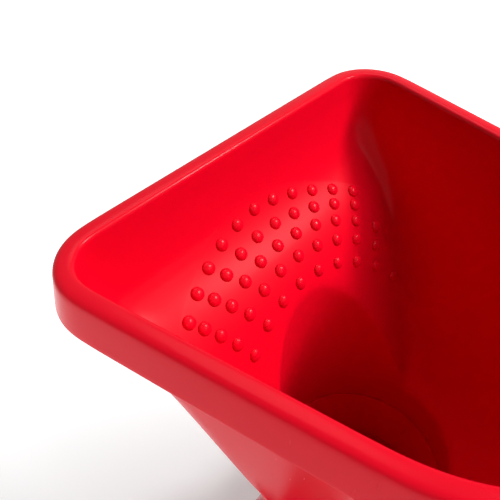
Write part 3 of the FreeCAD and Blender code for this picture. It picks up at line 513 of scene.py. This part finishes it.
RIM_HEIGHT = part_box("hopper")[1].z / MM
NECK_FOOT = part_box("hopper")[0].z / MM
END_PLACE = -60.0
END_HALF_WIDTH = 65.0
SIDE_TAPER = math.radians(10.8)
CORNER_RADIUS = 14.9
ROUND_END_PLACE = 12.0
LIP_WIDTH = 4.7
LIP_THICKNESS = 2.6
SKIRT_HEIGHT = 10.7
SKIRT_FLARE = 1.9
SKIRT_WALL = 2.2
HOPPER_WALL = 2.8
TRAY_DRAFT = math.tan(math.radians(8))
APRON_START = Vector((-49.6, RIM_HEIGHT - 22.6))
APRON_TOP_SLOPE = math.radians(23)
APRON_FOOT_SLOPE = math.radians(64)
APRON_RADIUS = 45.0
TRAY_FOOT = RIM_HEIGHT - 96.0
CUP_RADIUS = 29.0
LIP_ROUND = 1.8
EDGE_ROUND = 2.2
END_POINTS = 14
CORNER_POINTS = 6
SIDE_POINTS = 9
ROUND_POINTS = 18
HALVINGS = 40
ARCH_SHARE = 0.25
COVE_FLOOR_SHARE = 0.6
COVE_WALL_SHARE = 0.7
HEM_HEIGHT = 1.0
HEM_SHARE = 0.9
EDGE_FLARE = 0.4


def rim_line():
    """Points of the rim's outer edge with their outward normals, once round."""
    normal = Vector((math.sin(SIDE_TAPER), math.cos(SIDE_TAPER)))
    corner_x = END_PLACE + CORNER_RADIUS
    corner_y = END_HALF_WIDTH - CORNER_RADIUS * math.tan(SIDE_TAPER) - CORNER_RADIUS / math.cos(SIDE_TAPER)
    round_half_width = END_HALF_WIDTH - (ROUND_END_PLACE - END_PLACE) * math.tan(SIDE_TAPER)
    round_radius = round_half_width * math.cos(SIDE_TAPER)
    half = []
    for step in range(END_POINTS // 2):
        half.append((Vector((END_PLACE, corner_y * (step + 0.5) / (END_POINTS / 2))), Vector((-1, 0))))
    for step in range(CORNER_POINTS):
        turn = math.pi - (math.pi / 2 + SIDE_TAPER) * (step + 0.5) / CORNER_POINTS
        outward = Vector((math.cos(turn), math.sin(turn)))
        half.append((Vector((corner_x, corner_y)) + outward * CORNER_RADIUS, outward))
    start = Vector((corner_x, corner_y)) + normal * CORNER_RADIUS
    stop = Vector((ROUND_END_PLACE, 0)) + normal * round_radius
    for step in range(SIDE_POINTS):
        half.append((start.lerp(stop, (step + 0.5) / SIDE_POINTS), normal))
    for step in range(ROUND_POINTS // 2):
        turn = (math.pi / 2 - SIDE_TAPER) * (1 - (step + 0.5) / (ROUND_POINTS / 2))
        outward = Vector((math.cos(turn), math.sin(turn)))
        half.append((Vector((ROUND_END_PLACE, 0)) + outward * round_radius, outward))
    mirrored = [(Vector((place.x, -place.y)), Vector((out.x, -out.y))) for place, out in reversed(half)]
    return half + mirrored


def apron_height(x, wall):
    """Height of the apron at a place along X, lowered to its underside by the wall's thickness."""
    centre = APRON_START - Vector((math.sin(APRON_TOP_SLOPE), math.cos(APRON_TOP_SLOPE))) * APRON_RADIUS
    radius = APRON_RADIUS - wall
    top = centre + Vector((math.sin(APRON_TOP_SLOPE), math.cos(APRON_TOP_SLOPE))) * radius
    foot = centre + Vector((math.sin(APRON_FOOT_SLOPE), math.cos(APRON_FOOT_SLOPE))) * radius
    if x < top.x:
        return top.y + (top.x - x) * math.tan(APRON_TOP_SLOPE)
    if x > foot.x:
        return foot.y - (x - foot.x) * math.tan(APRON_FOOT_SLOPE)
    return centre.y + math.sqrt(radius ** 2 - (x - centre.x) ** 2)


def floor_height(place, wall):
    """Height of the apron or of the funnel round the cup, whichever is higher."""
    funnel = TRAY_FOOT + place.length - CUP_RADIUS - wall
    return max(apron_height(place.x, wall), funnel)


def crease(place, outward, wall):
    """Inset from the rim at which the drafted wall meets the floor."""
    low, high = 0.0, -END_PLACE
    for _ in range(HALVINGS):
        middle = (low + high) / 2
        drop = (middle - LIP_WIDTH + wall) / TRAY_DRAFT
        if RIM_HEIGHT - drop > floor_height(place - outward * middle, wall):
            low = middle
        else:
            high = middle
    return low


def hopper_side(wall, arch, cove, ease, levels):
    """Rings of one side of the shell, from the neck's foot up to the rim, with a soft arch edge and cove."""
    rings = []
    line = rim_line()
    radius = CUP_RADIUS + wall
    edges = []
    for place, outward in line:
        edge = place.normalized() * radius
        inset = crease(place, outward, wall)
        corner = place - outward * inset
        edges.append((edge, corner, inset))

    def cup_ring(share, drop):
        """Ring on the cup's wall, from the neck's foot at share 0 to the arch edge at share 1."""
        return [(edge.x, edge.y, NECK_FOOT + (floor_height(edge, wall) - drop - NECK_FOOT) * share)
                for edge, _, _ in edges]

    def floor_ring(share, gap):
        """Ring on the apron and funnel, from the arch edge at share 0 to the cove at share 1."""
        ring = []
        for edge, corner, _ in edges:
            span = corner - edge
            near_edge = min(arch, span.length * ARCH_SHARE)
            near_wall = min(gap, span.length * COVE_FLOOR_SHARE)
            spot = edge + span.normalized() * (near_edge + (span.length - near_edge - near_wall) * share)
            ring.append((spot.x, spot.y, floor_height(spot, wall)))
        return ring

    def wall_ring(share, gap):
        """Ring on the tray's drafted wall, from the lip at share 0 down to the cove at share 1."""
        ring = []
        for (place, outward), (_, _, inset) in zip(line, edges):
            depth = (inset - LIP_WIDTH + wall) / TRAY_DRAFT
            rise = min(gap, (depth - LIP_ROUND) * COVE_WALL_SHARE)
            drop = LIP_ROUND + (depth - rise - LIP_ROUND) * share
            spot = place - outward * (LIP_WIDTH - wall + drop * TRAY_DRAFT)
            ring.append((spot.x, spot.y, RIM_HEIGHT - drop))
        return ring

    for share in (0, 0.02, 0.35, 0.7):
        rings.append(cup_ring(share, arch))
    rings.append(cup_ring(1, arch))
    rings.append(cup_ring(1, 0))
    for level in range(levels + 1):
        rings.append(floor_ring(level / levels, cove))
    soft = []
    for (_, corner, _), below, above in zip(edges, floor_ring(1, cove), wall_ring(1, cove)):
        middle = (Vector(below) + Vector(above)) / 2
        soft.append(tuple(Vector((corner.x, corner.y, floor_height(corner, wall))).lerp(middle, ease)))
    rings.append(soft)
    for share in (1, 0.66, 0.33, 0):
        rings.append(wall_ring(share, cove))
    return rings


def rim_ring(grow, drop):
    """The rim's line grown outwards and lowered from the rim's height."""
    return [((place + outward * grow).x, (place + outward * grow).y, RIM_HEIGHT - drop)
            for place, outward in rim_line()]


rim_rings = [
    rim_ring(-LIP_WIDTH, 0),
    rim_ring(-EDGE_ROUND, 0),
    rim_ring(0, 0),
    rim_ring(EDGE_FLARE, EDGE_ROUND),
    rim_ring(SKIRT_FLARE / 2, SKIRT_HEIGHT / 2),
    rim_ring(SKIRT_FLARE * HEM_SHARE, SKIRT_HEIGHT - HEM_HEIGHT),
    rim_ring(SKIRT_FLARE, SKIRT_HEIGHT),
    rim_ring(SKIRT_FLARE - SKIRT_WALL, SKIRT_HEIGHT),
    rim_ring(SKIRT_FLARE * HEM_SHARE - SKIRT_WALL, SKIRT_HEIGHT - HEM_HEIGHT),
    rim_ring(-SKIRT_WALL, LIP_THICKNESS + HEM_HEIGHT),
]
inside = hopper_side(wall=0.0, arch=3.0, cove=13.0, ease=0.3, levels=5)
outside = hopper_side(wall=HOPPER_WALL, arch=4.0, cove=20.0, ease=0.5, levels=3)
outside.reverse()
hopper_rings = [[Vector(point) * MM for point in ring] for ring in inside + rim_rings + outside]
hopper = subdivided(grid_skin("hopper_shell", hopper_rings), 2)

# Bumps on the apron: small domes of the same moulding in five staggered arcs. The field between them is a
# little duller and keeps the fine marks of the cutter that made the mould.

BUMP_RADIUS = 1.95
BUMP_HEIGHT = 1.15
BUMP_SINK = 0.2
BUMP_ROWS = 5
BUMPS_IN_ROW = 11
BUMP_STEP = 0.1108
FIRST_ROW = END_PLACE + 10.393
ROW_STEP = 4.574
LAST_ROW_RADIUS = 73.83
ROW_RADIUS_STEP = 1.406
FIELD_CENTRE = 18.6
FIELD_RADIUS = 69.6
FIELD_HALF_WIDTH = 38.0
FIELD_ARC_FADE = 1.2
FIELD_SIDE_FADE = 5.0
FIELD_DULLNESS = 0.13
MARK_DEPTH = 6.0
MARK_SCALE = (90, 1800, 90)
bpy.ops.object.select_all(action="DESELECT")
bpy.ops.mesh.primitive_uv_sphere_add(segments=20, ring_count=12, radius=BUMP_RADIUS * MM)
bump = bpy.context.object
for vertex in bump.data.vertices:
    vertex.co.z *= BUMP_HEIGHT / BUMP_RADIUS
bpy.ops.object.mode_set(mode="EDIT")
bpy.ops.mesh.select_all(action="SELECT")
bpy.ops.mesh.bisect(plane_co=(0, 0, -BUMP_SINK * MM), plane_no=(0, 0, 1), use_fill=True, clear_inner=True)
bpy.ops.object.mode_set(mode="OBJECT")
bpy.ops.object.shade_smooth()
bumps = []
for row in range(BUMP_ROWS):
    arc_radius = LAST_ROW_RADIUS - ROW_RADIUS_STEP * (BUMP_ROWS - 1 - row)
    count = BUMPS_IN_ROW - row % 2
    for index in range(count):
        turn = (index - (count - 1) / 2) * BUMP_STEP
        x = FIRST_ROW + row * ROW_STEP + arc_radius * (1 - math.cos(turn))
        y = arc_radius * math.sin(turn)
        _, spot, normal, _ = hopper.ray_cast(Vector((x, y, RIM_HEIGHT)) * MM, Vector((0, 0, -1)))
        copy = bump.copy()
        copy.data = bump.data.copy()
        copy.data.materials.append(red_plastic)
        copy.data.transform(Matrix.Translation(spot) @ normal.to_track_quat("Z", "Y").to_matrix().to_4x4())
        bpy.context.scene.collection.objects.link(copy)
        bumps.append(copy)
bpy.data.objects.remove(bump)

hopper_red = red_plastic.copy()
hopper_red.name = "hopper_red"
nodes, links = hopper_red.node_tree.nodes, hopper_red.node_tree.links
skin = next(node for node in nodes if node.type == "GROUP")
relief = next(node for node in nodes if node.type == "BUMP")
shader = nodes["Principled BSDF"]
place = nodes.new("ShaderNodeTexCoord")
flat = nodes.new("ShaderNodeVectorMath")
flat.operation = "MULTIPLY_ADD"
flat.inputs[1].default_value = (1, 1, 0)
flat.inputs[2].default_value = (-FIELD_CENTRE * MM, 0, 0)
links.new(place.outputs["Object"], flat.inputs[0])
reach = nodes.new("ShaderNodeVectorMath")
reach.operation = "LENGTH"
links.new(flat.outputs["Vector"], reach.inputs[0])
arc = nodes.new("ShaderNodeMapRange")
arc.inputs["From Min"].default_value = (FIELD_RADIUS + FIELD_ARC_FADE) * MM
arc.inputs["From Max"].default_value = FIELD_RADIUS * MM
links.new(reach.outputs["Value"], arc.inputs["Value"])
parts = nodes.new("ShaderNodeSeparateXYZ")
links.new(place.outputs["Object"], parts.inputs["Vector"])
sideways = nodes.new("ShaderNodeMath")
sideways.operation = "ABSOLUTE"
links.new(parts.outputs["Y"], sideways.inputs[0])
width = nodes.new("ShaderNodeMapRange")
width.inputs["From Min"].default_value = (FIELD_HALF_WIDTH + FIELD_SIDE_FADE) * MM
width.inputs["From Max"].default_value = FIELD_HALF_WIDTH * MM
links.new(sideways.outputs["Value"], width.inputs["Value"])
field = nodes.new("ShaderNodeMath")
field.operation = "MULTIPLY"
links.new(arc.outputs["Result"], field.inputs[0])
links.new(width.outputs["Result"], field.inputs[1])
duller = nodes.new("ShaderNodeMath")
duller.operation = "MULTIPLY_ADD"
duller.inputs[1].default_value = FIELD_DULLNESS
links.new(field.outputs["Value"], duller.inputs[0])
links.new(skin.outputs["Roughness"], duller.inputs[2])
links.new(duller.outputs["Value"], shader.inputs["Roughness"])
cutter = nodes.new("ShaderNodeMapping")
cutter.inputs["Scale"].default_value = MARK_SCALE
links.new(place.outputs["Object"], cutter.inputs["Vector"])
marks = nodes.new("ShaderNodeTexNoise")
marks.inputs["Scale"].default_value = 1
links.new(cutter.outputs["Vector"], marks.inputs["Vector"])
marked = nodes.new("ShaderNodeMath")
marked.operation = "MULTIPLY"
links.new(marks.outputs["Fac"], marked.inputs[0])
links.new(field.outputs["Value"], marked.inputs[1])
tooled = nodes.new("ShaderNodeMath")
tooled.operation = "MULTIPLY_ADD"
tooled.inputs[1].default_value = MARK_DEPTH
links.new(marked.outputs["Value"], tooled.inputs[0])
links.new(skin.outputs["Height"], tooled.inputs[2])
links.new(tooled.outputs["Value"], relief.inputs["Height"])
fit(hopper, hopper_red, "feed_hopper", "red_plastic", "hopper")
bpy.ops.object.select_all(action="DESELECT")
for piece in [*bumps, hopper]:
    piece.select_set(True)
bpy.context.view_layer.objects.active = hopper
bpy.ops.object.join()

# Studio: a wide pale floor that keeps the mill's shadow, with a painted pool of shade round the foot where
# its glow is weaker, under a white sky that metal mirrors too. One soft box stands to the right of the view,
# a small one behind it, a weak one overhead and a low one by the skirt.

FLOOR_SIZE = 40.0
FLOOR_TONE = 0.8
# Painted shade: the floor glows less near the mill, a pool round the foot that rises to full white further
# out.
PAINTED_SHADE_LIFT = 0.3
FAR_LIFT = 1.0
PAINTED_SHADE_START = 0.08
PAINTED_SHADE_END = 0.42
SKY_FILL = 0.03


def shown(nodes, links):
    """1 for rays from the camera and for those mirrored or let through by a piece, 0 for lighting."""
    path = nodes.new("ShaderNodeLightPath")
    mirrored = nodes.new("ShaderNodeMath")
    mirrored.operation = "MAXIMUM"
    links.new(path.outputs["Is Glossy Ray"], mirrored.inputs[0])
    links.new(path.outputs["Is Transmission Ray"], mirrored.inputs[1])
    seen = nodes.new("ShaderNodeMath")
    seen.operation = "MAXIMUM"
    links.new(mirrored.outputs["Value"], seen.inputs[0])
    links.new(path.outputs["Is Camera Ray"], seen.inputs[1])
    return seen.outputs["Value"]


bpy.ops.mesh.primitive_plane_add(size=FLOOR_SIZE)
floor = bpy.context.object
floor.name = "floor"
floor_paint = bpy.data.materials.new("floor_paint")
floor_paint.use_nodes = True
nodes, links = floor_paint.node_tree.nodes, floor_paint.node_tree.links
matt = nodes["Principled BSDF"]
matt.inputs["Base Color"].default_value = (FLOOR_TONE, FLOOR_TONE, FLOOR_TONE, 1)
matt.inputs["Roughness"].default_value = 0.9
matt.inputs["Specular IOR Level"].default_value = 0
matt.inputs["Emission Color"].default_value = (1, 1, 1, 1)
spot = nodes.new("ShaderNodeTexCoord")
away = nodes.new("ShaderNodeVectorMath")
away.operation = "LENGTH"
links.new(spot.outputs["Object"], away.inputs[0])
# The glow grows with distance from the mill, so a painted pool of shade lies round the foot on top of the
# real shadow.
lift = nodes.new("ShaderNodeMapRange")
lift.interpolation_type = "SMOOTHSTEP"
lift.inputs["From Min"].default_value = PAINTED_SHADE_START
lift.inputs["From Max"].default_value = PAINTED_SHADE_END
lift.inputs["To Min"].default_value = PAINTED_SHADE_LIFT
lift.inputs["To Max"].default_value = FAR_LIFT
links.new(away.outputs["Value"], lift.inputs["Value"])
glow = nodes.new("ShaderNodeMath")
glow.operation = "MULTIPLY"
links.new(shown(nodes, links), glow.inputs[0])
links.new(lift.outputs["Result"], glow.inputs[1])
links.new(glow.outputs["Value"], matt.inputs["Emission Strength"])
floor.data.materials.append(floor_paint)

world = bpy.data.worlds.new("studio")
world.use_nodes = True
bpy.context.scene.world = world
sky = world.node_tree.nodes["Background"]
sky.inputs["Color"].default_value = (1, 1, 1, 1)
nodes, links = world.node_tree.nodes, world.node_tree.links
pale = nodes.new("ShaderNodeMapRange")
pale.inputs["To Min"].default_value = SKY_FILL
pale.inputs["To Max"].default_value = 1.0
links.new(shown(nodes, links), pale.inputs["Value"])
links.new(pale.outputs["Result"], sky.inputs["Strength"])


def soft_box(name, place, target, width, height, power):
    """An area lamp of the given size in metres and power in watts, turned to its target."""
    lamp = bpy.data.lights.new(name, "AREA")
    lamp.shape = "RECTANGLE"
    lamp.size, lamp.size_y = width, height
    lamp.energy = power
    holder = bpy.data.objects.new(name, lamp)
    holder.location = place
    holder.rotation_euler = (Vector(target) - Vector(place)).to_track_quat("-Z", "Y").to_euler()
    bpy.context.scene.collection.objects.link(holder)
    return holder


LOOK_AT = Vector((-26.3, -27.29, 282.0)) * MM
SIDE_LAMP = LOOK_AT + Vector((0.66, 0.34, 0.67)) * 0.8
REAR_LAMP = LOOK_AT + Vector((0.42, 0.56, 0.71)) * 0.9
TOP_LAMP = LOOK_AT + Vector((-0.32, 0.40, 0.86))
LOW_LAMP = (-0.2, -0.9, 0.1)
NECK = (0, 0, 0.24)
side_box = soft_box("side_box", SIDE_LAMP, LOOK_AT, width=0.35, height=0.45, power=5.0)
side_box.visible_glossy = False
soft_box("rear_box", REAR_LAMP, LOOK_AT, width=0.17, height=0.17, power=6)
soft_box("top_box", TOP_LAMP, LOOK_AT, width=0.5, height=0.5, power=1.7)
low_box = soft_box("low_box", LOW_LAMP, NECK, width=1.0, height=0.25, power=7)
low_box.visible_glossy = False

EYE_PLACE = Vector((31.8, -90.7, 368.0)) * MM
LENS = 40.68
camera = bpy.data.cameras.new("camera")
camera.lens = LENS
camera.sensor_width = 36
camera.clip_start = 0.005
eye = bpy.data.objects.new("camera", camera)
eye.location = EYE_PLACE
eye.rotation_euler = (LOOK_AT - eye.location).to_track_quat("-Z", "Y").to_euler()
bpy.context.scene.collection.objects.link(eye)
bpy.context.scene.camera = eye
bpy.context.scene.view_settings.view_transform = "Standard"
